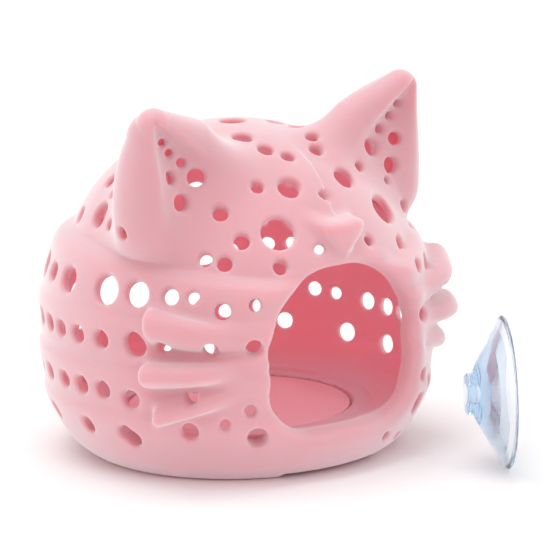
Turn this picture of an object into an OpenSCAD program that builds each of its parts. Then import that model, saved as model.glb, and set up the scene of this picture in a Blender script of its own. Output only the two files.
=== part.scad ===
// Aquarium hideout cave: a round perforated dome with cat ears, nose and
// whisker bars, a drop-in floor plate and a loose clear suction cup.
// Millimetres, +Z up. Origin on the dome's axis at ground level; the face
// looks along -Y, so +X is to the right for someone who looks at the face.

/* [Dome] */
// Largest diameter of the round body
body_d = 110; // [106:1:114]
// Height of the dome without its ears
body_h = 91.5; // [88:0.5:95]
// Wall thickness of the shell
wall = 3; // [2.6:0.1:3.2]

/* [Openings] */
// Diameter of the front door at its inner edge
door_d = 47; // [44:0.5:48]
// Diameter of the door where it flares out to the face
door_flare_d = 55; // [52:0.5:56]
// Height of the door's centre
door_z = 36.5; // [35:0.5:38]
// Radius of the door's two lower corners
door_corner_r = 13; // [11:0.5:15]
// Width of the rear way out
rear_w = 48; // [44:1:50]
// Height of the rear way out
rear_h = 14; // [12:1:18]
// Height of the rear way out's centre
rear_z = 34; // [33:0.5:36]

/* [Ears and face] */
// Height of the ear tips
ear_tip_z = 103; // [98:1:106]
// Half the distance between the ear tips
ear_x = 44; // [40:1:46]
// How far in front of the axis the ear tips stand
ear_y = 20; // [16:1:24]
// Width of the nose at its ledge
nose_w = 15; // [12:0.5:17]
// How far the nose sits to the right of the middle
nose_x = 0.8; // [0:0.1:1.5]
// Distance of the nose's front from the axis
nose_front = 50; // [48.5:0.1:50.5]

/* [Floor] */
// Height of the floor plate's top
floor_z = 11; // [10.5:0.5:12]
// Diameter of the floor plate
plate_d = 62.4; // [60:0.1:62.6]
// Thickness of the floor plate
plate_t = 2.5; // [2:0.1:3]
// Diameter of the peg that the cup's boss pushes onto
peg_d = 5.6; // [5:0.1:6]

/* [Suction cup] */
// Diameter of the cup's rim
cup_d = 42; // [38:1:46]
// Height of the cup from its rim to the end of its boss
cup_h = 11.3; // [10.5:0.1:13]
// Diameter of the blind bore in the boss
cup_bore_d = 5.2; // [4.8:0.1:5.6]
// Direction that the boss points in, from +X
cup_turn = 148; // [140:1:165]
// Where the cup stands, to the right of the axis
cup_x = 37.5; // [34:0.5:45]
// Where the cup stands, in front of the axis
cup_y = 71; // [70:0.5:80]

/* [Hidden] */
$fn = 64;

pink = "#f2bcc6";
deep_pink = "#e7a3ae";
clear_blue = "#cfe0ef";

kr = body_d / 110;
kz = body_h / 91.5;

// Outer profile of the dome: height and radius on a 110 mm body.
profile = [
    [0, 41], [2, 44], [5, 47.5], [9, 50], [14, 52.5], [20, 54], [27, 54.6],
    [35, 54.8], [43, 54.5], [51, 53.4], [58, 50.4], [65, 46], [72, 40.6],
    [79, 34], [85, 25.5], [89, 16.5], [90.7, 9.5], [91.5, 0]
];
n_prof = len(profile);
outer = [for (p = profile) [p[1] * kr, p[0] * kz]];

// Outward unit normal of the profile at point i.
function side(i) = outer[min(i + 1, n_prof - 1)] - outer[max(i - 1, 0)];
function normal(i) = [side(i)[1], -side(i)[0]] / norm(side(i));
inner = [for (i = [0 : n_prof - 2]) if (outer[i][1] > floor_z + 2.5)
             outer[i] - wall * normal(i)];

// Radius and outward slope of the wall at height z.
function rad(z) = lookup(z / kz, profile) * kr;
function slope(z) = z < 50 ? 0 : atan2(rad(z - 1) - rad(min(z + 1, body_h)), 2);

// Heights where the base meets the walls and the walls meet the crown.
wall_lo = 12;
wall_hi = 58.1;

// Water holes, [angle from the face, height, diameter].
row_a = [for (p = [[-147, 5], [-134, 5], [-122, 7], [-110, 5], [-98, 7],
                   [-80, 8], [-68, 7], [-57, 4.5], [68, 7],
                   [80, 8], [98, 7], [110, 5], [122, 7], [134, 5], [153, 5]])
             [p[0], 53.6, p[1]]];
row_b = [for (p = [[-144, 4.5], [-135, 5], [-126, 4.5], [-116, 4.5],
                   [-107, 4.5], [-99, 4.5], [-90, 5], [-80, 5], [-68, 6.3],
                   [-59, 3.6], [-45, 4], [-33.5, 4.3], [33.5, 4.3],
                   [68, 6.3]])
             [p[0], 40, p[1]]];
row_c = [for (p = [[-142, 4.5], [-131, 5], [-120, 4.5], [-109, 4.5],
                   [-98, 4.5], [-89, 5], [-80, 5], [-70, 5.3], [70, 5.3]])
             [p[0], 26, p[1]]];
row_d = [for (p = [[-166, 4.5], [-150, 5], [-136, 4.5], [-122, 5], [-110, 4.5],
                   [-89, 4.5], [-72, 6], [152, 4.5], [166, 4.5]])
             [p[0], 15.5, p[1]]];
cheeks = concat(
    [for (s = [-1, 1]) each [
        [s * 34, 22.5, 3.4], [s * 52, 17, 5], [s * 42, 19, 3],
        [s * 32.5, 15.5, 5]]],
    [[-50, 53.5, 3.5], [-41.5, 50, 4.5], [-32, 51.5, 3.5], [43.5, 52, 4.2], [33.5, 53, 3.5]]);
right_back = [
    [80, 30.5, 4.6], [87.5, 30.5, 6], [97, 31, 6], [109.5, 31.5, 4.2],
    [116.5, 32, 4.7], [87, 19.6, 6.6], [105, 21, 6.8], [127, 22, 4.8],
    [92, 44, 4.5], [103, 44, 4], [115.5, 43.7, 4.6], [124, 45, 4.5], [132, 45, 4],
    [135, 26.2, 4.5], [146, 25, 4], [151.5, 41.5, 5], [142.5, 43.5, 3.5]];
brow = [
    [-47.5, 63.5, 3.6], [-41, 62.5, 4.2], [-22.5, 61, 4], [-8.5, 64, 3],
    [14.5, 63.5, 3], [34, 60, 3.8], [-35, 67.5, 4.4], [-21.5, 69, 9.4],
    [35, 68.5, 9], [-43, 73.5, 4.4]];
dome_top = [
    [-26.5, 79.5, 3.5], [-11.5, 78.5, 6.2], [23.5, 78, 5.5], [-1.5, 85, 4],
    [-14, 87, 4.5], [-28, 89.5, 5], [24, 84.6, 4], [-99, 70.5, 7],
    [-119, 68, 4.5], [-110, 77.5, 4], [-96, 75.5, 3], [-87, 68.5, 2.6],
    [104, 70.5, 7], [120, 69, 5], [138, 70, 5], [158, 66, 6],
    [-168, 62, 6], [-140, 69, 5], [180, 72.6, 5], [92, 85, 5], [122, 83, 5],
    [150, 82, 6], [178, 84, 5], [-154, 82, 6], [-126, 84, 5], [-90, 86.5, 4]];

holes = concat(row_a, row_b, row_c, row_d, cheeks, right_back, brow, dome_top);

// Ear: foot inside the dome, rounded tip at the top. The profile gives the
// place along the axis and the radius, both as shares of the ear's length.
ear_profile = [[0, 0.52], [0.2, 0.47], [0.4, 0.4], [0.6, 0.32], [0.8, 0.225],
               [0.92, 0.16], [1.02, 0.1], [1.08, 0.055]];
ear_foot = [31, 13, 60];
ear_ball = 4.6;
ear_end = [ear_x, ear_y, ear_tip_z - ear_ball];
ear_vec = ear_end - ear_foot;
ear_tilt = atan2(norm([ear_vec[0], ear_vec[1]]), ear_vec[2]);
ear_turn = atan2(ear_vec[1], ear_vec[0]);

// Whisker bars: [inner height, outer height, tip radius, bar height]. On the
// right cheek they sit a little higher.
left_bars = [[42.5, 46, 60.5, 7.5], [34, 32.5, 62, 6.5], [27, 21, 59, 5.5]];
right_bars = [[45.5, 49, 60.5, 7.5], [38, 36.5, 62, 6], [31.5, 26, 59, 5.5]];
bar_in = 37;
bar_out = 63;

// Solid bounded by the outer profile.
module body_solid() {
    rotate_extrude(angle = 360, $fn = 180) polygon(concat(outer, [[0, 0]]));
}

// One radial hole.
module hole(h) {
    rotate([0, 0, h[0]]) translate([0, -rad(h[1]), h[1]])
        rotate([90 - slope(h[1]), 0, 0])
            translate([0, 0, -wall - 4]) cylinder(d = h[2], h = wall + 9);
}

// Front door with its flare, squarer at its lower corners.
module door() {
    low = door_z - door_d / 2 + door_corner_r;
    for (s = [-1, 1])
        translate([s * (door_d / 2 - door_corner_r + 0.5), -20, low])
            rotate([90, 0, 0]) cylinder(r = door_corner_r, h = 50);
    translate([-(door_d / 2 - door_corner_r), -70, low - door_corner_r])
        cube([door_d - 2 * door_corner_r, 50, door_corner_r]);
    translate([0, -20, door_z]) rotate([90, 0, 0]) cylinder(d = door_d, h = 50);
    translate([0, -44, door_z]) rotate([90, 0, 0])
        cylinder(d1 = door_d - 3, d2 = door_flare_d, h = 9);
    translate([0, -52.9, door_z]) rotate([90, 0, 0])
        cylinder(d = door_flare_d, h = 12);
}

// Rear way out, a slot with round ends.
module rear_exit() {
    for (s = [-1, 1])
        translate([s * (rear_w - rear_h) / 2, 70, rear_z]) rotate([90, 0, 0])
            cylinder(d = rear_h, h = 50);
    translate([-(rear_w - rear_h) / 2, 20, rear_z - rear_h / 2])
        cube([rear_w - rear_h, 50, rear_h]);
}

// Round ear body along its axis, pulled in by g all over.
module ear_body(g) {
    l = norm(ear_vec);
    translate([-ear_foot[0], -ear_foot[1], ear_foot[2]])
        rotate([0, ear_tilt, 180 + ear_turn]) rotate_extrude(angle = 360)
            polygon(concat([[0, 0]],
                [for (p = ear_profile) if (p[0] < 1 || g == 0)
                     [p[1] * l - g, p[0] * l - (p[0] > 0.8 ? g : 0)]],
                [[0, l + ear_ball - 1.2 * g]]));
}

// Way from the dome into an ear.
module ear_port() {
    translate([-ear_foot[0], -ear_foot[1], ear_foot[2]])
        rotate([0, ear_tilt, 180 + ear_turn]) cylinder(r = 9, h = 30);
}

// Stretch of the shell from height lo to hi; side -1 is the left half, 1 the
// right half and 0 all the way round.
module shell(lo, hi, side) {
    intersection() {
        difference() {
            rotate_extrude(angle = 360) polygon(concat(
                [[37.5, 0]], outer, [[0, body_h - wall]],
                [for (i = [len(inner) - 1 : -1 : 0]) inner[i]],
                [[46.5, floor_z], [plate_d / 2 + 0.3, floor_z],
                 [plate_d / 2 + 0.3, floor_z - plate_t],
                 [28, floor_z - plate_t], [28, 7], [37.5, 7]]));
            door();
            rear_exit();
            if (hi > 60) {
                ear_port();
                mirror([1, 0, 0]) ear_port();
            }
            for (h = holes)
                if (h[1] + h[2] > lo && h[1] - h[2] < hi
                    && side * sin(h[0]) > -0.1) hole(h);
        }
        translate([side == 1 ? 0 : -70, -70, lo])
            cube([side == 0 ? 140 : 70, 140, hi - lo]);
    }
}

// Foot, floor ledge and sill.
module base_ring() { color(pink) shell(0, wall_lo, 0); }

// Left cheek and flank, up to the brow.
module left_wall() { color(pink) shell(wall_lo, wall_hi, -1); }

// Right cheek and flank, up to the brow.
module right_wall() { color(pink) shell(wall_lo, wall_hi, 1); }

// Top of the head, from the brow up.
module crown() { color(pink) shell(wall_hi, 100, 0); }

// Left ear: hollow cone with a hollowed front.
module ear() {
    difference() {
        ear_body(0);
        difference() {
            ear_body(wall);
            ear_scoop(wall);
        }
        ear_scoop(0);
        body_solid();
    }
}

// Front hollow of an ear, grown by g.
module ear_scoop(g) {
    translate([-22, -42, 62]) rotate([0, -26, -38])
        cylinder(r1 = 20 + g, r2 = 6 + g, h = 48);
}

module left_ear() { color(pink) ear(); }

module right_ear() { color(pink) mirror([1, 0, 0]) ear(); }

module nose() {
    color(pink) difference() {
        translate([nose_x, -36, 0]) rotate([90, 0, 0])
            linear_extrude(height = nose_front - 36)
                polygon([[-nose_w / 2, 69], [-nose_w / 2 + 1.2, 70.4],
                         [nose_w / 2 - 1.2, 70.4], [nose_w / 2, 69],
                         [2, 61.4], [-2, 61.4]]);
        body_solid();
    }
}

// Point at angle a and radius r in plan, on the left cheek.
function cheek(a, r) = [-r * sin(a), -r * cos(a)];

// One straight blunt whisker bar that leaves the cheek towards the back.
module bar(b) {
    mid = (bar_in + bar_out) / 2;
    lift = atan2(b[1] - b[0], 2 * 55 * sin((bar_out - bar_in) / 2));
    translate([0, 0, (b[0] + b[1]) / 2])
        rotate([0, 0, -mid]) rotate([0, lift, 0]) rotate([0, 0, mid])
            translate([0, 0, -b[3] / 2]) linear_extrude(height = b[3])
                polygon([cheek(bar_in, 55.6), cheek(bar_out - 2, b[2]),
                         cheek(bar_out, b[2] - 1.5), cheek(bar_out, 50),
                         cheek(bar_in, 50)]);
}

module whiskers(bars) {
    difference() {
        for (b = bars) bar(b);
        body_solid();
    }
}

module left_whiskers() { color(pink) whiskers(left_bars); }

module right_whiskers() { color(pink) mirror([1, 0, 0]) whiskers(right_bars); }

// Flat disc in the shell's floor, with the peg for the cup below.
module floor_plate() {
    color(deep_pink) {
        translate([0, 0, floor_z - plate_t]) cylinder(d = plate_d, h = plate_t);
        translate([0, 0, 6]) cylinder(r = 6, h = floor_z - plate_t - 6);
        translate([0, 0, 0.6]) cylinder(d = peg_d, h = 6);
    }
}

// Clear cup on its rim, boss towards the cave.
module suction_cup() {
    r = cup_d / 2;
    color(clear_blue)
        translate([cup_x, -cup_y, r]) rotate([0, 90, cup_turn])
            rotate_extrude(angle = 360)
                polygon([[r - 0.5, 0], [r, 0.4], [r - 0.2, 1], [14, 4.9],
                         [7.4, 8.5], [5.6, 9.2], [5.6, cup_h - 0.5],
                         [5.1, cup_h], [cup_bore_d / 2, cup_h],
                         [cup_bore_d / 2, cup_h - 4.5], [0, cup_h - 4.5],
                         [0, 4.7], [6, 4.3], [12, 3], [17, 1.4]]);
}

base_ring();
left_wall();
right_wall();
crown();
left_ear();
right_ear();
nose();
left_whiskers();
right_whiskers();
floor_plate();
suction_cup();
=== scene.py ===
import math

import bpy
import numpy as np
from mathutils import Matrix, Vector


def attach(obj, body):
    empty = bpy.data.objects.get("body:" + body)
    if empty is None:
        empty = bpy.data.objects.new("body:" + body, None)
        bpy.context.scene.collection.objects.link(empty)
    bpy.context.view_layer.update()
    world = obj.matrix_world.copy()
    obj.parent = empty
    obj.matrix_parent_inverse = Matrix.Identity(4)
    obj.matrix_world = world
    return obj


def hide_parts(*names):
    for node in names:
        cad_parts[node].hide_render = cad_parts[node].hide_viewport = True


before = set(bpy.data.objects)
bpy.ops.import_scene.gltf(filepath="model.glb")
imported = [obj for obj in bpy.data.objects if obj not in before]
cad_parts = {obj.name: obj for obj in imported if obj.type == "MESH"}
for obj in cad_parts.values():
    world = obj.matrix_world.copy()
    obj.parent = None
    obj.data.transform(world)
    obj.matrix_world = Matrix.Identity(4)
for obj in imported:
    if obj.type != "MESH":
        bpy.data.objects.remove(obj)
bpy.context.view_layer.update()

# The shell is worked out as one smooth signed distance field in millimetres
# (negative inside the plastic), then meshed. +Z is up and the face looks
# along -Y. Angles around the dome are measured from the face, + towards +X.

WALL = 3.0
FLOOR_Z = 11.6

# Height and radius of the dome's outer skin.
PROFILE = [
    (-7, 27), (-3.5, 35), (0, 41), (2, 44), (5, 47.4), (9, 49.9), (14, 52.4),
    (20, 54), (27, 54.6), (35, 54.8), (43, 54.5), (51, 53.4), (58, 50.4),
    (65, 46), (72, 40.7), (79, 34), (85, 25.5), (89, 16.5), (90.7, 9.5),
    (91.5, 0), (90.7, -9.5), (89, -16.5), (85, -25.5),
]


def smin(a, b, k):
    h = np.maximum(k - np.abs(a - b), 0.0) / k
    return np.minimum(a, b) - h * h * (k * 0.25)


def smax(a, b, k):
    h = np.maximum(k - np.abs(a - b), 0.0) / k
    return np.maximum(a, b) + h * h * (k * 0.25)


def step(a, b, v):
    t = np.clip((v - a) / (b - a), 0.0, 1.0)
    return t * t * (3.0 - 2.0 * t)


def spline(points, n):
    """Natural cubic spline through 2-D points, n samples."""
    p = np.array(points, float)
    t = np.concatenate([[0], np.cumsum(np.linalg.norm(np.diff(p, axis=0), axis=1))])
    h = np.diff(t)
    m = len(p)
    a = np.eye(m)
    b = np.zeros((m, 2))
    for i in range(1, m - 1):
        a[i, i - 1:i + 2] = h[i - 1], 2 * (h[i - 1] + h[i]), h[i]
        b[i] = 6 * ((p[i + 1] - p[i]) / h[i] - (p[i] - p[i - 1]) / h[i - 1])
    c = np.linalg.solve(a, b)
    s = np.linspace(0, t[-1], n)
    i = np.clip(np.searchsorted(t, s) - 1, 0, m - 2)
    u, v, hh = (s - t[i])[:, None], (t[i + 1] - s)[:, None], h[i][:, None]
    return (c[i] * v ** 3 + c[i + 1] * u ** 3) / (6 * hh) \
        + (p[i] / hh - c[i] * hh / 6) * v + (p[i + 1] / hh - c[i + 1] * hh / 6) * u


def soften(v, sigma):
    n = int(4 * sigma)
    w = np.exp(-0.5 * (np.arange(-n, n + 1) / sigma) ** 2)
    w /= w.sum()
    return np.stack([np.convolve(np.pad(c, n, mode="edge"), w, "valid") for c in v.T], 1)


CURVE = soften(spline(PROFILE, 1600), 14)
TOP = int(np.argmax(CURVE[:, 0]))
CURVE_Z, CURVE_R = CURVE[:TOP, 0], CURVE[:TOP, 1]
CELL = 0.25
R0, Z0 = 0.0, -8.0
NR, NZ = 330, 490


def distance_table():
    r = R0 + CELL * np.arange(NR)
    z = Z0 + CELL * np.arange(NZ)
    best = np.full((NR, NZ), 1e9, np.float32)
    pts = CURVE[::2].astype(np.float32)
    rr, zz = r[:, None].astype(np.float32), z[None, :].astype(np.float32)
    for (za, ra), (zb, rb) in zip(pts[:-1], pts[1:]):
        if ra < -2:
            break
        dz, dr = zb - za, rb - ra
        t = np.clip(((zz - za) * dz + (rr - ra) * dr) / (dz * dz + dr * dr), 0, 1)
        np.minimum(best, (zz - za - t * dz) ** 2 + (rr - ra - t * dr) ** 2, out=best)
    best = np.sqrt(best)
    inside = (rr < np.interp(zz, CURVE_Z, CURVE_R)) & (zz < CURVE_Z[-1])
    return np.where(inside, -best, best).astype(np.float32)


TABLE = distance_table()


def skin(r, z):
    """Distance to the plain dome, from the table."""
    a = np.clip((r - R0) / CELL, 0, NR - 1.001)
    b = np.clip((z - Z0) / CELL, 0, NZ - 1.001)
    i, j = a.astype(np.int32), b.astype(np.int32)
    fa, fb = (a - i).astype(np.float32), (b - j).astype(np.float32)
    return (TABLE[i, j] * (1 - fa) + TABLE[i + 1, j] * fa) * (1 - fb) \
        + (TABLE[i, j + 1] * (1 - fa) + TABLE[i + 1, j + 1] * fa) * fb


# Height of the brow's edge by angle from the face.
BROW = np.interp(np.arange(0, 181), [0, 23, 40, 58, 74, 83, 95, 120, 180],
                 [54.4, 55.2, 57.0, 58.9, 60.3, 61.0, 61.8, 62.2, 62.2])
BROW = soften(BROW[:, None], 5)[:, 0]


def relief(x, y, z, r):
    """How far the skin stands proud of the plain dome."""
    a = np.abs(np.degrees(np.arctan2(x, -y)))
    u = z - np.interp(a, np.arange(0, 181), BROW).astype(np.float32)
    out = 0.8 * np.exp(-((u + 2.4) / 3.2) ** 2)
    deep = 2.0 - 1.4 * np.exp(-((a - 52.0) / 9.0) ** 2) * (x > 0)
    out -= deep * step(-1.0, 2.2, u) * np.exp(-np.maximum(u - 2.0, 0) / 6.0)
    out *= np.where(y < 0, 0.3 + 0.7 * step(1.0, 7.0, door(x, z)), 1.0)
    for tier, depth in ((45.8, 0.5), (32.0, 0.5), (19.5, 0.4)):
        u = z - tier
        out += depth * np.exp(-((u + 2.2) / 3.0) ** 2)
        out -= depth * step(-1.0, 2.0, u) * np.exp(-np.maximum(u - 2.0, 0) / 4.5)
    # Troughs in the cheek above the second and the third bar.
    cheek = step(30.0, 37.0, a) * step(67.0, 60.0, a)
    up = np.where(x > 0, 4.0, 0.0)
    out -= 1.4 * cheek * np.exp(-((z - up - 39.0) / 2.7) ** 2)
    out -= 1.4 * cheek * np.exp(-((z - up - 27.4) / 2.7) ** 2)
    # Low ridge from the nose up the forehead, wider towards the top.
    half = 1.4 + 2.8 * np.clip((z - 71.0) / 12.0, 0, 1)
    off = np.abs(x) - half
    ridge = (1 - np.where(x > 0, step(-0.5, 0.7, off), step(-3.0, 6.0, off))) * step(-8.0, -20.0, y)
    out += 1.0 * ridge * step(88.0, 81.0, z) * step(64.0, 68.0, z)
    return out


def taper(x, y, z, a, b, ra, rb, swell=0.0):
    """Round bar from a to b, its radius going from ra to rb, fuller by swell halfway."""
    ab = [q - p for p, q in zip(a, b)]
    ll = sum(c * c for c in ab)
    px, py, pz = x - a[0], y - a[1], z - a[2]
    t = np.clip((px * ab[0] + py * ab[1] + pz * ab[2]) / ll, 0, 1)
    return np.sqrt((px - ab[0] * t) ** 2 + (py - ab[1] * t) ** 2 + (pz - ab[2] * t) ** 2) \
        - (ra + (rb - ra) * t + swell * 4.0 * t * (1.0 - t))


# Ear, given for the +X side: a skin stretched over balls (place, radius) at and
# below the tip, at the outer root, the middle and the root of the crest, and the
# back, with the swell halfway between two balls. The ear on the -X side is fuller.
EAR_L = {"tip": ((42.6, -21.2, 98.5), 4.9), "heel": ((41.5, -19.0, 95.0), 7.0),
         "out": ((41.0, -16.3, 66.0), 9.1), "mid": ((28.4, -17.6, 91.0), 7.4),
         "in": ((18.0, -17.0, 80.3), 8.0), "back": ((26.5, -1.5, 64.0), 10.5),
         "swell": {("heel", "out"): 2.2, ("back", "heel"): 0.4, ("heel", "mid"): 0.3}}
EAR_R = dict(EAR_L, tip=((42.6, -21.2, 98.3), 4.8), heel=((41.7, -19.0, 94.8), 6.7),
             mid=((28.8, -17.5, 89.4), 6.9),
             swell={("heel", "out"): 0.5, ("back", "heel"): 0.4, ("heel", "mid"): 0.3})
EAR_FACES = (("heel", "out", "mid"), ("mid", "out", "in"), ("heel", "mid", "back"),
             ("mid", "in", "back"), ("heel", "out", "back"), ("tip", "heel", "mid"),
             ("tip", "heel", "out"))
# The scoop in its front, by height: centre and radius of a level circle.
EAR_SCOOP = np.array([
    (60, 33, -70, 44.4), (66, 33, -70, 44.4), (70, 33.5, -66, 40.6), (78, 35, -48, 23.3),
    (84.5, 33, -42.3, 19.6), (90, 37, -31.9, 10), (95, 41, -27.8, 5.2),
    (99.5, 44, -25.4, 1.2), (101, 45, -25, -0.4), (108, 49, -24, -5)], float)
SCOOP_Z = np.arange(60.0, 108.0, 0.25)
SCOOP = soften(np.stack([np.interp(SCOOP_Z, EAR_SCOOP[:, 0], c) for c in EAR_SCOOP.T[1:]], 1), 6)
EAR_LO, EAR_HI = (2.0, -45.0, 48.0), (66.0, 26.0, 106.0)


def bulge(balls, p, q):
    return balls["swell"].get(tuple(sorted((p, q))), 0.0)


def ear(x, y, z, balls):
    """Hollowed-front ear: the stretched skin less the scoop."""
    edges = sorted({tuple(sorted(e)) for f in EAR_FACES for e in zip(f, f[1:] + f[:1])})
    d = None
    for p, q in edges:
        (a, ra), (b, rb) = balls[p], balls[q]
        e = taper(x, y, z, a, b, ra, rb, bulge(balls, p, q))
        d = e if d is None else np.minimum(d, e)
    for f in EAR_FACES:
        a, b, c = [np.array(balls[k][0]) for k in f]
        n = np.cross(b - a, c - a)
        nn = float(n @ n)
        mb, mc = np.cross(c - a, n) / nn, np.cross(n, b - a) / nn
        px, py, pz = x - a[0], y - a[1], z - a[2]
        wb = px * mb[0] + py * mb[1] + pz * mb[2]
        wc = px * mc[0] + py * mc[1] + pz * mc[2]
        wa = 1.0 - wb - wc
        h = np.abs(px * n[0] + py * n[1] + pz * n[2]) / math.sqrt(nn)
        h = h - (wa * balls[f[0]][1] + wb * balls[f[1]][1] + wc * balls[f[2]][1])
        h = h - 4.0 * (wa * wb * bulge(balls, f[0], f[1]) + wb * wc * bulge(balls, f[1], f[2])
                       + wc * wa * bulge(balls, f[2], f[0]))
        d = np.where((wa > 0) & (wb > 0) & (wc > 0), np.minimum(d, h), d)
    cx, cy, cr = [np.interp(z, SCOOP_Z, c).astype(np.float32) for c in SCOOP.T]
    d = smax(d, 0.8 * (cr - np.sqrt((x - cx) ** 2 + (y - cy) ** 2)), 1.2)
    return smax(d, 63.0 - z, 7.0)


# Whisker bars on the -X cheek: height of the middle at the inner and the outer
# end, angle and radius of the outer end, half height at both ends, how far the
# face curls in below (or above, if negative), and how much higher the bar sits
# on the +X cheek.
BARS = [(41.2, 45.6, 63.0, 60.2, 3.4, 5.6, 0.7, 3.0), (34.2, 32.6, 63.8, 61.8, 2.4, 3.7, 0.35, 4.0),
        (29.6, 21.0, 61.8, 58.8, 2.6, 3.2, -0.3, 5.5)]
BAR_START = 33.0
BAR_LO, BAR_HI = (16.0, -64.0, 10.0), (64.0, -10.0, 60.0)


def bar(x, y, z, b, lift):
    """Bar that grows out of the cheek towards its blunt outer end."""
    z_in, z_out, a_out, r_out, h_in, h_out, curl, _ = b
    r = np.sqrt(x * x + y * y)
    a = np.degrees(np.arctan2(x, -y))
    t = np.clip((a - BAR_START) / (a_out - BAR_START), -0.1, 1.1)
    n = r - 54.2 - (r_out - 54.2) * step(0.0, 0.62, t)
    v = z - lift - (z_in + (z_out - z_in) * t)
    half = h_in + (h_out - h_in) * t
    e = np.minimum(1.8 + 2.6 * t, 0.9 * half)
    if curl > 0:
        n = n + curl * np.maximum(0.2 * half - v, 0) ** 2 / half
    else:
        n = n - curl * np.maximum(v + half, 0)
    qn = np.abs(n + 8) - 8 + e
    qv = np.abs(v) - half + e
    out = np.sqrt(np.maximum(qn, 0) ** 2 + np.maximum(qv, 0) ** 2)
    out = out + np.minimum(np.maximum(qn, qv), 0) - e
    return smax(out, np.radians(a - a_out) * r, 2.6)


def nose(x, y, z):
    """Rounded wedge with a level ledge on top."""
    side = (np.abs(x - 0.8) - 7.6) * 0.85 - (z - 70.6) * 0.5
    d = smax(side, z - 71.0 - 0.06 * (y + 46.0), 4.4)
    return smax(d, -y - 51.6 + 0.31 * (70.0 - z), 4.0)


def door(x, z):
    """Doorway with wide upper and tighter lower corners."""
    c = 13.0 + 5.0 * step(28.0, 36.1, z) + 3.4 * step(36.1, 44.0, z)
    qx, qz = np.abs(x) - 24.0 + c, np.abs(z - 36.1) - 21.7 + c
    return np.sqrt(np.maximum(qx, 0) ** 2 + np.maximum(qz, 0) ** 2) \
        + np.minimum(np.maximum(qx, qz), 0) - c


def rear(x, z):
    qx, qz = np.abs(x) - 19.0, np.abs(z - 34.0) - 2.0
    return np.sqrt(np.maximum(qx, 0) ** 2 + np.maximum(qz, 0) ** 2) \
        + np.minimum(np.maximum(qx, qz), 0) - 5.0


# Water holes through the dome: angle from the face, height, diameter.
HOLES = [(a, 53.6, d) for a, d in (
    (-147, 5), (-134, 5), (-122, 7), (-110, 5), (-98, 7), (-79.5, 8), (-68, 7),
    (-57, 4.4), (68, 7), (80, 8), (98, 7), (110, 5), (122, 7),
    (134, 5), (153, 5))]
HOLES += [(a, 40.0, d) for a, d in (
    (-144, 4.5), (-135, 5), (-126, 4.5), (-116, 4.5), (-107, 4.5), (-99, 4.5),
    (-90, 5), (-80, 5), (-59, 3.6), (-45, 4), (-32.6, 4.3),
    (32.6, 4.3))]
HOLES += [(a, 26.0, d) for a, d in (
    (-142, 4.5), (-131, 5), (-120, 4.5), (-109, 4.5), (-98, 4.5), (-89, 5),
    (-80, 5))]
HOLES += [(a, 14.5, d) for a, d in (
    (-166, 4.5), (-150, 5), (-136, 4.5), (-122, 5), (-110, 4.5), (-89, 4.5),
    (152.5, 4.5), (165.5, 4.5))]
for s in (-1, 1):
    HOLES += [(s * a, z, d) for a, z, d in (
        (34, 22.4, 3.4), (52, 16.6, 5), (41.4, 18.8, 3), (32, 14.8, 5.5),
        (68.2, 40.6, 5.6), (67.6, 39.2, 5.6), (70, 24.4, 5.2))]
HOLES += [
    (92, 44, 4.5), (103, 44, 4), (124, 45, 4.5), (132, 45, 4),
    (-50, 53.5, 3.4), (-73.4, 14.4, 4.6), (-71.2, 12.8, 4.6),
    (135, 26.2, 4.5), (146, 25, 4), (151.5, 41.5, 5), (143.5, 43.2, 3.5),
    (-41.5, 50, 4.5), (-32, 51.5, 3.4), (43.5, 52.2, 4.2), (33.5, 53.2, 3.4), (47, 44, 3.4),
    (-47.5, 63.4, 3.6), (-41, 62.5, 4.2), (-22.6, 61, 4),
    (14.4, 63.6, 3), (34.2, 60.2, 3.8), (-35, 67.4, 4.4),
    (-21.6, 68.8, 9.4), (-43, 73.7, 4.4),
    (-26.6, 79.4, 3.5), (-11.4, 78.7, 6.2), (-1.4, 85, 4),
    (-13, 87, 4.5), (-27, 89.5, 5.5), (24, 84.8, 4), (-99, 70.4, 7), (-119, 68, 4.5), (-110, 77.6, 4),
    (-96, 75.5, 3), (-87, 68.5, 2.6),
    (104, 70.5, 7), (120, 69, 5), (138, 70, 5), (158, 66, 6), (-168, 62.2, 6),
    (-140, 69, 5), (180, 72, 5), (92, 85, 5), (122, 83, 5), (150, 82, 6),
    (178, 84, 5), (-154, 82, 6), (-126, 84, 5), (-90, 86.5, 4)]


def hole_list():
    """Each hole as a point on the skin, the outward axis and a radius."""
    out = []
    slope_r = np.gradient(CURVE_R, CURVE_Z + 1e-6 * np.arange(TOP))
    for a, z, d in HOLES:
        r = float(np.interp(z, CURVE_Z, CURVE_R))
        g = float(np.interp(z, CURVE_Z, slope_r)) if z > 46 else 0.0
        nr, nz = 1 / math.hypot(1, g), -g / math.hypot(1, g)
        s, c = math.sin(math.radians(a)), -math.cos(math.radians(a))
        out.append(((r * s, r * c, z), (nr * s, nr * c, nz), d / 2))
    return out


# Holes in the right flank, drilled askew: angle from the face and height halfway
# through the wall, diameter, and the angle that the axis points in.
SKEW_HOLES = [
    (117, 32.1, 4.1, 130), (109.5, 31.4, 3.6, 126), (97, 30.6, 4.9, 121), (88, 30.3, 4.9, 116),
    (80, 30, 4.4, 112), (105, 20.5, 5.3, 124), (87, 19.7, 5.2, 116), (127, 22.2, 4.6, 134),
    (115.3, 43.7, 4.6, 130)]


def skew_holes():
    out = []
    for a, z, d, turn in SKEW_HOLES:
        r = float(np.interp(z, CURVE_Z, CURVE_R)) - 0.5 * WALL
        a, t = math.radians(a), math.radians(turn)
        out.append(((r * math.sin(a), -r * math.cos(a), z),
                    (0.98 * math.sin(t), -0.98 * math.cos(t), -0.199), d / 2))
    return out


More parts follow.
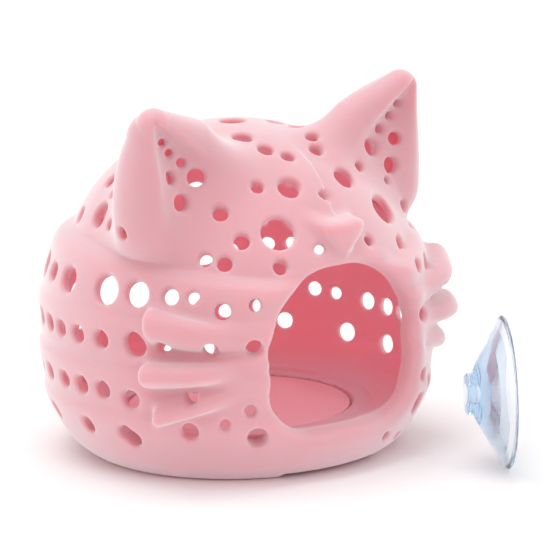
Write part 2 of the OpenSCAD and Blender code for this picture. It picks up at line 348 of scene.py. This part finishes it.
# More holes, by a point, the outward axis and a diameter: in the front of each
# ear, then beside the nose and its ridge, round the root of the
# right ear, at the very top, in the side of the left ear, and in the sill.
EAR_HOLES = [
    ((40.9, -22.6, 93.9), (0.35, -0.93, -0.05), 2.0), ((38.4, -22.2, 90.7), (0.35, -0.93, 0.0), 2.2),
    ((34.5, -22.3, 87.6), (0.35, -0.93, 0.1), 2.6), ((30.6, -23.5, 83.2), (0.5, -0.84, 0.2), 5.0),
    ((38.8, -23.6, 84.4), (-0.25, -0.94, 0.2), 3.6), ((36.5, -24.8, 77.3), (0.05, -0.99, 0.1), 4.6)]
MORE_HOLES = [
    ((-6.3, -45.2, 63.2), (-0.61, -0.76, 0.22), 2.6),
    ((24.5, -35.0, 68.2), (-0.09, -0.86, 0.5), 8.4), ((13.7, -31.5, 77.9), (-0.19, -0.82, 0.54), 6.2),
    ((2.9, -37.9, 76.0), (0.75, -0.5, 0.43), 3.4), ((22.9, -27.1, 79.2), (0.3, -0.8, 0.5), 3.0),
    ((12.6, -19.6, 88.0), (0.0, -0.35, 0.93), 3.6), ((33.5, -25.9, 73.6), (0.4, -0.85, 0.3), 1.8),
    ((38.6, -26.4, 65.7), (0.6, -0.78, 0.2), 3.2), ((41.5, -27.5, 61.0), (0.75, -0.6, 0.3), 3.0),
    ((0.5, 0.5, 91.5), (0.0, 0.0, 1.0), 7.0), ((11.8, -4.1, 90.1), (0.2, 0.0, 1.0), 4.6),
    ((14.6, -10.3, 89.2), (0.1, 0.0, 1.0), 4.2), ((-50.0, -16.5, 69.9), (-1.0, 0.0, 0.0), 3.4),
    ((14.6, -47.2, 8.0), (0.26, -0.83, -0.5), 2.4), ((22.0, -42.8, 6.0), (0.37, -0.73, -0.58), 2.2)]


def more_holes():
    out = [(p, n, d) for p, n, d in MORE_HOLES]
    for s in (-1, 1):
        out += [((s * p[0], p[1], p[2]), (s * n[0], n[1], n[2]), d) for p, n, d in EAR_HOLES]
    return [(p, tuple(c / math.hypot(*n) for c in n), d / 2) for p, n, d in out]


DRILLS = hole_list() + skew_holes() + more_holes()
FRONT_HOLE = ((-42.1, -34.7, 26.6), (-0.772, -0.636, 0.0), 1.9)


def drill(x, y, z, p, n, radius):
    px, py, pz = x - p[0], y - p[1], z - p[2]
    t = px * n[0] + py * n[1] + pz * n[2]
    d = np.sqrt(np.maximum(px * px + py * py + pz * pz - t * t, 0)) - radius
    return np.maximum(d, np.abs(t + 2.5) - 6.5)


def drill_box(p, n, radius):
    ends = np.array([[c - 9.0 * m for c, m in zip(p, n)], [c + 4.0 * m for c, m in zip(p, n)]])
    return ends.min(0) - radius - 2.0, ends.max(0) + radius + 2.0


def grid_picker(x, y, z):
    axes = x[:, 0, 0], y[0, :, 0], z[0, 0, :]

    def pick(lo, hi):
        out = []
        for v, a, b in zip(axes, lo, hi):
            i, j = np.searchsorted(v, (a, b))
            if i == j:
                return None
            out.append(slice(int(i), int(j)))
        return tuple(out)
    return pick


def point_picker(x, y, z):
    memo = {}

    def pick(lo, hi):
        key = (tuple(lo), tuple(hi))
        if key not in memo:
            memo[key] = np.nonzero((x > lo[0]) & (x < hi[0]) & (y > lo[1]) & (y < hi[1])
                                   & (z > lo[2]) & (z < hi[2]))[0]
        return memo[key] if memo[key].size else None
    return pick


def part_of(x, y, z, sel):
    if isinstance(sel, tuple):
        return x[sel[0]], y[:, sel[1]], z[:, :, sel[2]]
    return x[sel], y[sel], z[sel]


def sided(lo, hi, s):
    if s > 0:
        return lo, hi
    return (-hi[0], lo[1], lo[2]), (-lo[0], hi[1], hi[2])


def hollow(plain, raised, way, r, y, z):
    """The room inside the dome, without the hollows of the ears."""
    room = plain - np.minimum(raised, 0) + WALL + np.where(y < 0, 3.0 * np.exp(-(np.maximum(way, 0) / 6.0) ** 2), 0)
    return smax(room, FLOOR_Z + 0.05 * np.maximum(r - 31.8, 0) + 0.2 * np.maximum(r - 37.0, 0) - z, 4.0)


def shell(x, y, z, pick):
    """The whole moulding: negative inside the plastic."""
    r = np.sqrt(x * x + y * y)
    plain = skin(r, z)
    raised = relief(x, y, z, r)
    solid = plain - raised
    way = door(x, z)
    room = hollow(plain, raised, way, r, y, z)
    for s in (-1, 1):
        sel = pick(*sided(EAR_LO, EAR_HI, s))
        if sel is not None:
            px, py, pz = part_of(x, y, z, sel)
            e = ear(s * px, py, pz, EAR_R if s > 0 else EAR_L)
            solid[sel] = smin(solid[sel], e, 7.6 if s > 0 else 9.0)
            room[sel] = smin(room[sel], e + 2.7, 8.0)
        sel = pick(*sided(BAR_LO, BAR_HI, s))
        if sel is not None:
            px, py, pz = part_of(x, y, z, sel)
            for b in BARS:
                solid[sel] = smin(solid[sel], bar(s * px, py, pz, b, b[7] if s > 0 else 0.0), 2.4)
    sel = pick((-14.0, -56.0, 52.0), (14.0, -30.0, 76.0))
    if sel is not None:
        px, py, pz = part_of(x, y, z, sel)
        solid[sel] = smin(solid[sel], nose(px, py, pz), 1.6 + 1.6 * step(0.0, -7.0, px))
    solid = smax(solid, -z, 1.2)
    solid = smax(solid, -np.maximum(way, y + 15.0), 6.0)
    solid = smax(solid, -np.maximum(rear(x, z), 15.0 - y), 3.5)
    d = smax(solid, -room, 0.8)
    for p, n, radius in DRILLS:
        sel = pick(*drill_box(p, n, radius))
        if sel is not None:
            px, py, pz = part_of(x, y, z, sel)
            d[sel] = smax(d[sel], -drill(px, py, pz, p, n, radius), 1.3)
    p, n, radius = FRONT_HOLE
    sel = pick(*drill_box(p, n, radius))
    if sel is not None:
        px, py, pz = part_of(x, y, z, sel)
        cut = np.maximum(drill(px, py, pz, p, n, radius), pz - 27.5)
        d[sel] = smax(d[sel], -cut, 0.9)
    # Crease where the far wall meets the floor.
    sel = pick((5.0, 5.0, 9.0), (45.0, 38.0, 17.0))
    if sel is not None:
        px, py, pz = part_of(x, y, z, sel)
        a, pr = np.degrees(np.arctan2(px, -py)), np.sqrt(px * px + py * py)
        g = 1.7 * step(100.0, 112.0, a) * step(152.0, 140.0, a) - 0.3
        d[sel] = smax(d[sel], g - np.sqrt((pr - 36.8) ** 2 + (pz - 12.0) ** 2), 0.4)
    # Underside: recess for the cup, and the seat of the floor plate.
    under = np.maximum(r - 37.5, z - 7.0)
    under = np.minimum(under, np.maximum(r - 28.0, z - 9.0))
    under = np.minimum(under, np.maximum(r - 32.1, np.abs(z - 11.5) - 3.0))
    d = smax(d, -under, 0.5)
    # The bottom edge is lifted a little under the door.
    lift = np.maximum(np.maximum(np.abs(x) - 15.5, y + 33.0), z - 1.3)
    return smax(d, -lift, 0.8)


def surface_net(f, origin, h):
    """Quads through the zero level of a grid of distances."""
    s = f < 0
    n = np.zeros(tuple(c - 1 for c in f.shape), np.uint8)
    for i in (0, 1):
        for j in (0, 1):
            for k in (0, 1):
                n += s[i:f.shape[0] - 1 + i, j:f.shape[1] - 1 + j, k:f.shape[2] - 1 + k]
    cells = np.argwhere((n > 0) & (n < 8))
    index = np.full(n.shape, -1, np.int32)
    index[tuple(cells.T)] = np.arange(len(cells))
    total = np.zeros((len(cells), 3), np.float32)
    count = np.zeros(len(cells), np.float32)
    ci = cells.T
    for axis in range(3):
        o1, o2 = [a for a in range(3) if a != axis]
        for p in (0, 1):
            for q in (0, 1):
                a = [ci[0], ci[1], ci[2]]
                a[o1], a[o2] = a[o1] + p, a[o2] + q
                b = list(a)
                b[axis] = b[axis] + 1
                fa, fb = f[tuple(a)], f[tuple(b)]
                m = (fa < 0) != (fb < 0)
                t = fa[m] / (fa[m] - fb[m])
                add = np.zeros((int(m.sum()), 3), np.float32)
                add[:, o1], add[:, o2], add[:, axis] = p, q, t
                total[m] += add
                count[m] += 1
    verts = (cells + total / count[:, None]) * h + origin
    faces = []
    for axis in range(3):
        o1, o2 = (axis + 1) % 3, (axis + 2) % 3
        lo = [slice(None)] * 3
        hi = [slice(None)] * 3
        lo[axis], hi[axis] = slice(None, -1), slice(1, None)
        a, b = s[tuple(lo)], s[tuple(hi)]
        e = np.argwhere(a != b)
        e = e[(e[:, o1] > 0) & (e[:, o2] > 0) & (e[:, o1] < n.shape[o1]) & (e[:, o2] < n.shape[o2])]
        out = a[tuple(e.T)]
        ring = []
        for p, q in ((-1, -1), (0, -1), (0, 0), (-1, 0)):
            c = e.copy()
            c[:, o1] += p
            c[:, o2] += q
            ring.append(index[tuple(c.T)])
        ring = np.stack(ring, 1)
        ring[~out] = ring[~out][:, ::-1]
        faces.append(ring)
    return verts, np.concatenate(faces)


def slopes(v, pick, eps):
    """Distance and its gradient at points."""
    x, y, z = [np.ascontiguousarray(v[:, i]) for i in range(3)]
    g = np.zeros_like(v)
    for i, (dx, dy, dz) in enumerate(np.eye(3, dtype=np.float32) * np.float32(eps)):
        g[:, i] = (shell(x + dx, y + dy, z + dz, pick) - shell(x - dx, y - dy, z - dz, pick)) / (2 * eps)
    return shell(x, y, z, pick), g


def pull_in(v, rounds):
    """Moves points onto the surface."""
    v = v.astype(np.float32)
    for _ in range(rounds):
        d, g = slopes(v, point_picker(*v.T), 0.1)
        length = np.maximum((g * g).sum(1), 0.2)
        v = v - np.clip(d / length, -0.35, 0.35)[:, None] * g
    return v


def new_object(name, verts_mm, faces):
    me = bpy.data.meshes.new(name)
    me.from_pydata((np.asarray(verts_mm, float) * 0.001).tolist(), [], [list(map(int, f)) for f in faces])
    me.update()
    ob = bpy.data.objects.new(name, me)
    bpy.context.scene.collection.objects.link(ob)
    return ob


def build_shell():
    h = 0.66
    lo, hi = np.array([-67.0, -62.0, -1.4]), np.array([67.0, 58.0, 105.4])
    n = np.ceil((hi - lo) / h).astype(int) + 1
    xs, ys, zs = [(lo[i] + h * np.arange(n[i])).astype(np.float32) for i in range(3)]
    f = np.empty(tuple(n), np.float32)
    y, z = ys[None, :, None], zs[None, None, :]
    for i in range(0, n[0], 16):
        x = xs[i:i + 16, None, None]
        f[i:i + 16] = shell(x, y, z, grid_picker(x, y, z))
    verts, quads = surface_net(f, lo.astype(np.float32), h)
    verts = pull_in(verts, 2)
    ob = new_object("cave_shell", verts, quads)
    tri = ob.modifiers.new("tri", "TRIANGULATE")
    thin = ob.modifiers.new("thin", "DECIMATE")
    thin.ratio = min(1.0, 190000 / (2 * len(quads)))
    dg = bpy.context.evaluated_depsgraph_get()
    me = bpy.data.meshes.new_from_object(ob.evaluated_get(dg))
    ob.modifiers.clear()
    old, ob.data = ob.data, me
    bpy.data.meshes.remove(old)
    me.name = "cave_shell"
    me = ob.data
    v = np.empty(len(me.vertices) * 3, np.float32)
    me.vertices.foreach_get("co", v)
    v = v.reshape(-1, 3) * 1000
    v = pull_in(v, 1)
    me.vertices.foreach_set("co", (v * 0.001).ravel())
    me.update()
    _, g = slopes(v, point_picker(*v.T), 0.3)
    g /= np.maximum(np.linalg.norm(g, axis=1), 1e-6)[:, None]
    me.shade_smooth()
    me.normals_split_custom_set_from_vertices(g.tolist())
    x, y, z = v.T
    r = np.sqrt(x * x + y * y)
    way = door(x, z)
    room = hollow(skin(r, z), relief(x, y, z, r), way, r, y, z)
    # Faces on the room side get the second material, a lighter copy of the same plastic: painted light for the
    # light that comes through the thin walls and goes round the room.
    inward = (x * g[:, 0] + y * g[:, 1]) / np.maximum(r, 1.0) + 0.6 * (z - 45.0) / 45.0 * g[:, 2] < 0.2
    painted_light_faces = ((room < 0.35) & inward) | ((room < 1.6) & ((y > 0) | (way > 7.0)))
    for s in (-1, 1):
        painted_light_faces |= (ear(s * x, y, z, EAR_R if s > 0 else EAR_L) < -0.9) & (skin(r, z) > -2.0)
    for f in me.polygons:
        f.material_index = int(all(painted_light_faces[k] for k in f.vertices))
    print("shell", len(me.vertices), "points", sum(len(p.vertices) - 2 for p in me.polygons), "triangles")
    return ob


def rounded(points, n=5):
    """Closed outline from (r, h, corner radius), with its corners rounded."""
    out = []
    m = len(points)
    for i, (r, h, c) in enumerate(points):
        p = np.array([r, h], float)
        if c <= 0:
            out.append(p)
            continue
        a = np.array(points[i - 1][:2], float) - p
        b = np.array(points[(i + 1) % m][:2], float) - p
        la, lb = np.linalg.norm(a), np.linalg.norm(b)
        a, b = a / la, b / lb
        half = 0.5 * math.acos(max(-1, min(1, float(a @ b))))
        cut = min(c / math.tan(half), 0.48 * la, 0.48 * lb)
        p0, p1 = p + a * cut, p + b * cut
        for k in range(n + 1):
            t = k / n
            out.append((1 - t) ** 2 * p0 + 2 * t * (1 - t) * p + t * t * p1)
    return out


def lathe(name, outline, segments, closed=False):
    """Turns an outline of (r, h) about the axis; ends on the axis become one point."""
    verts, rings, faces = [], [], []
    for r, h in outline:
        if r < 1e-6:
            rings.append([len(verts)] * segments)
            verts.append((0, 0, h))
        else:
            base = len(verts)
            for k in range(segments):
                a = 2 * math.pi * k / segments
                verts.append((r * math.cos(a), r * math.sin(a), h))
            rings.append(list(range(base, base + segments)))
    pairs = list(zip(rings[:-1], rings[1:]))
    if closed:
        pairs.append((rings[-1], rings[0]))
    for a, b in pairs:
        for k in range(segments):
            q = [a[k], a[(k + 1) % segments], b[(k + 1) % segments], b[k]]
            q = [c for j, c in enumerate(q) if c not in q[:j]]
            if len(q) > 2:
                faces.append(q)
    return new_object(name, verts, faces)


def tidy(ob, angle):
    """Outward faces, smooth, with edges over the angle kept crisp."""
    import bmesh
    bm = bmesh.new()
    bm.from_mesh(ob.data)
    bmesh.ops.recalc_face_normals(bm, faces=bm.faces)
    for e in bm.edges:
        e.smooth = len(e.link_faces) == 2 and e.calc_face_angle(0) < math.radians(angle)
    for f in bm.faces:
        f.smooth = True
    bm.to_mesh(ob.data)
    bm.free()


def build_plate():
    outline = rounded([
        (0, 0.6, 0), (2.8, 0.6, 0.5), (2.8, 6, 0.5), (6, 6, 0.5), (6, 8.5, 0.6),
        (31.2, 8.5, 0.3), (31.2, 11.0, 0.5), (30.0, 11.0, 0.3), (29.7, 10.85, 0.3),
        (29.4, 11.0, 0.3), (20, 11.02, 0), (10, 11.03, 0), (0, 11.03, 0)])
    ob = lathe("floor_disc", outline, 160)
    tidy(ob, 50)
    return ob


def build_cup():
    outline = rounded([
        (20.6, 0.0, 0.3), (21.0, 0.45, 0.3), (20.75, 1.0, 0.3), (14.0, 4.9, 3.0),
        (7.6, 8.55, 1.2), (5.7, 9.3, 0.5), (5.7, 10.9, 0.4), (5.2, 11.3, 0.4),
        (2.9, 11.3, 0.4), (2.6, 10.9, 0.3), (2.6, 6.8, 0.3), (0, 6.8, 0)])
    inner = rounded([(0, 4.7, 0), (6, 4.3, 3), (12, 3.0, 3), (17, 1.4, 2), (20.1, 0.05, 0.2)])
    ob = lathe("suction_cup_clear", inner + outline, 128)
    tidy(ob, 60)
    ax = Vector((math.cos(math.radians(148)), math.sin(math.radians(148)), 0))
    up = Vector((0, 0, 1))
    m = Matrix((up.cross(ax), up, ax)).transposed().to_4x4()
    m.translation = Vector((0.0375, -0.071, 0.021))
    ob.data.transform(m)
    return ob


def nodes_of(name):
    mat = bpy.data.materials.new(name)
    mat.use_nodes = True
    nt = mat.node_tree
    return mat, nt, nt.nodes["Principled BSDF"]


def link(nt, a, b):
    nt.links.new(a, b)


def noise(nt, coord, scale, detail, rough=0.55):
    n = nt.nodes.new("ShaderNodeTexNoise")
    n.inputs["Scale"].default_value = scale
    n.inputs["Detail"].default_value = detail
    n.inputs["Roughness"].default_value = rough
    link(nt, coord, n.inputs["Vector"])
    return n.outputs["Fac"]


def ramp(nt, fac, stops):
    n = nt.nodes.new("ShaderNodeValToRGB")
    e = n.color_ramp.elements
    while len(e) < len(stops):
        e.new(0.5)
    for el, (p, c) in zip(e, stops):
        el.position = p
        el.color = (*c, 1) if len(c) == 3 else c
    link(nt, fac, n.inputs["Fac"])
    return n.outputs["Color"]


def span(nt, fac, a, b):
    n = nt.nodes.new("ShaderNodeMapRange")
    n.inputs["From Min"].default_value = 0.3
    n.inputs["From Max"].default_value = 0.7
    n.inputs["To Min"].default_value = a
    n.inputs["To Max"].default_value = b
    link(nt, fac, n.inputs["Value"])
    return n.outputs["Result"]


def pink(name, light, deep, rough, sheen, glow, reach, tones=(1.0, 0.2, 0.175)):
    """Matte moulded plastic: soft mottling, fine grain, faint level lines."""
    mat, nt, b = nodes_of(name)
    tc = nt.nodes.new("ShaderNodeTexCoord")
    co = tc.outputs["Object"]
    blotch = noise(nt, co, 55.0, 3.0)
    link(nt, ramp(nt, blotch, [(0.32, deep), (0.68, light)]), b.inputs["Base Color"])
    link(nt, span(nt, noise(nt, co, 400.0, 2.0), rough - 0.05, rough + 0.06), b.inputs["Roughness"])
    b.inputs["Specular IOR Level"].default_value = 0.4
    b.inputs["Subsurface Weight"].default_value = glow
    b.inputs["Subsurface Radius"].default_value = tones
    b.inputs["Subsurface Scale"].default_value = reach
    b.inputs["Sheen Weight"].default_value = sheen
    b.inputs["Sheen Roughness"].default_value = 0.54
    b.inputs["Sheen Tint"].default_value = (1.0, 1.0, 1.0, 1.0)
    wave = nt.nodes.new("ShaderNodeTexWave")
    wave.bands_direction = "Z"
    wave.inputs["Scale"].default_value = 420.0
    wave.inputs["Distortion"].default_value = 2.2
    wave.inputs["Detail"].default_value = 1.5
    wave.inputs["Detail Scale"].default_value = 0.6
    link(nt, co, wave.inputs["Vector"])
    lines = nt.nodes.new("ShaderNodeBump")
    lines.inputs["Strength"].default_value = 0.06
    lines.inputs["Distance"].default_value = 0.0002
    link(nt, wave.outputs["Fac"], lines.inputs["Height"])
    grain = nt.nodes.new("ShaderNodeBump")
    grain.inputs["Strength"].default_value = 0.10
    grain.inputs["Distance"].default_value = 0.00025
    link(nt, noise(nt, co, 1500.0, 3.0), grain.inputs["Height"])
    link(nt, lines.outputs["Normal"], grain.inputs["Normal"])
    link(nt, grain.outputs["Normal"], b.inputs["Normal"])
    return mat


def clear_vinyl(name):
    mat, nt, b = nodes_of(name)
    tc = nt.nodes.new("ShaderNodeTexCoord")
    co = tc.outputs["Object"]
    tint = ramp(nt, noise(nt, co, 60.0, 2.0), [(0.3, (0.93, 0.97, 1.0)), (0.7, (0.96, 0.985, 1.0))])
    link(nt, tint, b.inputs["Base Color"])
    link(nt, span(nt, noise(nt, co, 40.0, 1.0), 0.0, 0.012), b.inputs["Roughness"])
    b.inputs["Transmission Weight"].default_value = 0.92
    b.inputs["IOR"].default_value = 1.12
    ripple = nt.nodes.new("ShaderNodeBump")
    ripple.inputs["Strength"].default_value = 0.02
    ripple.inputs["Distance"].default_value = 0.0004
    link(nt, noise(nt, co, 60.0, 0.0), ripple.inputs["Height"])
    link(nt, ripple.outputs["Normal"], b.inputs["Normal"])
    # Thick edges look bluer.
    vol = nt.nodes.new("ShaderNodeVolumeAbsorption")
    vol.inputs["Color"].default_value = (0.4, 0.68, 0.9, 1.0)
    vol.inputs["Density"].default_value = 50.0
    link(nt, vol.outputs["Volume"], nt.nodes["Material Output"].inputs["Volume"])
    return mat


def paint(ob, mat):
    ob.data.materials.append(mat)


shell_ob = build_shell()
plate_ob = build_plate()
cup_ob = build_cup()

# The room-side faces: the shell's plastic painted lighter, as painted light for the light that shines through the
# walls into the room.
inside = pink("pink_inside_painted_light", (0.9, 0.56, 0.63), (0.89, 0.54, 0.61), 0.5, 0.0, 0.75, 0.012)
paint(shell_ob, pink("pink_shell", (0.72, 0.395, 0.44), (0.705, 0.38, 0.425), 0.5, 1.0, 0.9, 0.010))
shell_ob.data.materials.append(inside)
# The floor disc: the same pink plastic painted lighter still, as painted light for the light that falls onto the
# floor of the room.
paint(plate_ob, pink("pink_floor_painted_light", (1.0, 0.6, 0.67), (0.99, 0.58, 0.65), 0.5, 0.0, 0.0, 0.002))
paint(cup_ob, clear_vinyl("clear_vinyl"))

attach(shell_ob, "cave")
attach(plate_ob, "cave")
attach(cup_ob, "cup")
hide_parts("base_ring", "left_wall", "right_wall", "crown", "left_ear",
            "right_ear", "nose", "left_whiskers", "right_whiskers")
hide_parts("floor_plate")
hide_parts("suction_cup")


def build_stage():
    """Pale floor plane reaching far out on every side."""
    ob = new_object("floor_stage", [(-3000, -3000, -0.05), (3000, -3000, -0.05), (3000, 3000, -0.05),
                                    (-3000, 3000, -0.05)], [(0, 1, 2, 3)])
    mat, nt, b = nodes_of("pale_floor")
    tc = nt.nodes.new("ShaderNodeTexCoord")
    link(nt, ramp(nt, noise(nt, tc.outputs["Object"], 3.0, 2.0),
                  [(0.3, (0.96, 0.96, 0.96)), (0.7, (0.98, 0.98, 0.98))]), b.inputs["Base Color"])
    b.inputs["Roughness"].default_value = 0.9
    b.inputs["Specular IOR Level"].default_value = 0.1
    paint(ob, mat)


def build_light():
    scene = bpy.context.scene
    world = bpy.data.worlds.new("studio")
    scene.world = world
    world.use_nodes = True
    bg = world.node_tree.nodes["Background"]
    bg.inputs["Color"].default_value = (1.0, 1.0, 1.0, 1)
    bg.inputs["Strength"].default_value = 0.82

    def area(name, place, target, size, watts):
        data = bpy.data.lights.new(name, "AREA")
        data.shape = "DISK"
        data.size = size
        data.energy = watts
        ob = bpy.data.objects.new(name, data)
        scene.collection.objects.link(ob)
        ob.location = place
        ob.rotation_mode = "QUATERNION"
        ob.rotation_quaternion = (Vector(target) - Vector(place)).to_track_quat("-Z", "Y")

    area("key", (-0.15, 0.10, 1.1), (0, 0, 0.04), 1.0, 5.3)
    area("side", (-0.9, 0.10, 0.40), (0, 0, 0.04), 0.6, 0.15)
    area("far", (0.8, 0.9, 0.5), (0, 0, 0.04), 0.7, 1.0)
    area("fill", (0.9, -0.2, 0.35), (0, 0, 0.04), 0.6, 0.15)
    # A narrow beam through the doorway onto the floor inside.
    data = bpy.data.lights.new("door_beam", "SPOT")
    data.energy = 20.0
    data.spot_size = math.radians(3.1)
    data.spot_blend = 0.9
    data.shadow_soft_size = 0.05
    ob = bpy.data.objects.new("door_beam", data)
    scene.collection.objects.link(ob)
    ob.location = (0.0, -0.8, 0.44)
    ob.rotation_mode = "QUATERNION"
    ob.rotation_quaternion = (Vector((0, -0.004, 0.011)) - Vector((0.0, -0.8, 0.44))).to_track_quat("-Z", "Y")
    # Light that comes down through the top holes onto the floor of the room.
    data = bpy.data.lights.new("room_glow", "SPOT")
    data.energy = 0.017
    data.color = (1.0, 0.78, 0.8)
    data.spot_size = math.radians(104)
    data.spot_blend = 1.0
    data.shadow_soft_size = 0.008
    ob = bpy.data.objects.new("room_glow", data)
    scene.collection.objects.link(ob)
    ob.location = (0.004, 0.004, 0.076)
    ob.visible_camera = False
    scene.view_settings.view_transform = "Standard"
    scene.view_settings.look = "None"
    scene.view_settings.exposure = 0.0
    scene.view_settings.gamma = 1.0
    # Light goes round many times in the room before it comes out again.
    scene.cycles.max_bounces = 24
    scene.cycles.diffuse_bounces = 16


def build_camera():
    a, e, roll = math.radians(38), math.radians(12.96), math.radians(1.18)
    right = Vector((math.cos(a), -math.sin(a), 0))
    back = Vector((-math.sin(a) * math.cos(e), -math.cos(a) * math.cos(e), math.sin(e)))
    up = back.cross(right)
    target = Vector((0, 0, 0.045)) + 0.01108 * right + 0.00224 * up
    r2 = right * math.cos(roll) - up * math.sin(roll)
    u2 = right * math.sin(roll) + up * math.cos(roll)
    data = bpy.data.cameras.new("camera")
    data.sensor_width = 36.0
    data.lens = 281.9
    data.clip_start, data.clip_end = 0.05, 20.0
    ob = bpy.data.objects.new("camera", data)
    bpy.context.scene.collection.objects.link(ob)
    m = Matrix((r2, u2, back)).transposed().to_4x4()
    m.translation = target + 1.2 * back
    ob.matrix_world = m
    bpy.context.scene.camera = ob


build_stage()
build_light()
build_camera()
